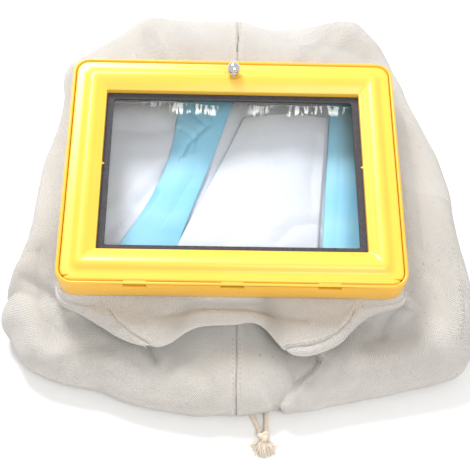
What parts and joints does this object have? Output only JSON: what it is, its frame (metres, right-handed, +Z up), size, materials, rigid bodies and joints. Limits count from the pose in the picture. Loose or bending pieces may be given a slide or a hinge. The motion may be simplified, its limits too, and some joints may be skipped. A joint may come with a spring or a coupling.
{
  "type": "sandblasting hood",
  "caption": "Canvas blasting hood lying collapsed with its window up: hinged plastic bezel, glass, lining, hemmed neck mouth and drawcord.",
  "frame": {"origin": "on the table under the middle of the hood's bounding box, the free cord ends left out", "axes": "+Z up from the table, +Y towards the crown (far side of the window), +X to the right as the picture shows it"},
  "size_m": [0.3448, 0.3585, 0.1189],
  "materials": {
    "yellow_plastic": "moulded, soft gloss",
    "yellow_plastic_tray": "moulded, soft gloss",
    "foam_gasket": "matt foam strip",
    "clear_glass": "clear, polished",
    "clear_film": "clear film with a hand-cut edge",
    "chrome_ball": "polished",
    "canvas": "off-white cotton duck, matt",
    "lining_white": "white woven cloth, matt",
    "lining_blue": "light blue satin",
    "cotton_cord": "twisted cotton, matt"
  },
  "bodies": {
    "hood": {"back_frame": "yellow_plastic_tray", "gasket": "foam_gasket", "window_glass": "clear_glass", "window_film": "clear_film", "hood_left": "canvas", "hood_right": "canvas", "chin_panel": "canvas", "cheek_fold_left": "canvas", "cheek_fold_right": "canvas", "back_panel": "lining_white", "lining_band_left": "lining_blue", "lining_flap": "lining_white", "lining_band_right": "lining_blue", "neck_hem": "canvas", "drawcord": "cotton_cord", "cord_end_left": "cotton_cord", "cord_end_right": "cotton_cord", "cord_knot": "cotton_cord"},
    "bezel": {"bezel": "yellow_plastic"},
    "knob": {"ball_knob": "chrome_ball"}
  },
  "joints": [
    {"name": "bezel_hinge", "type": "hinge", "parent": "hood", "child": "bezel", "pos_m": [-0.00613, -0.10163, 0.07994], "axis": [1, 0, 0], "range_deg": [0, 95]},
    {"name": "knob_turn", "type": "hinge", "parent": "bezel", "child": "knob", "pos_m": [-0.00613, 0.0655, 0.10704], "axis": [0, -0.1495, 0.9888], "continuous": true}
  ]
}
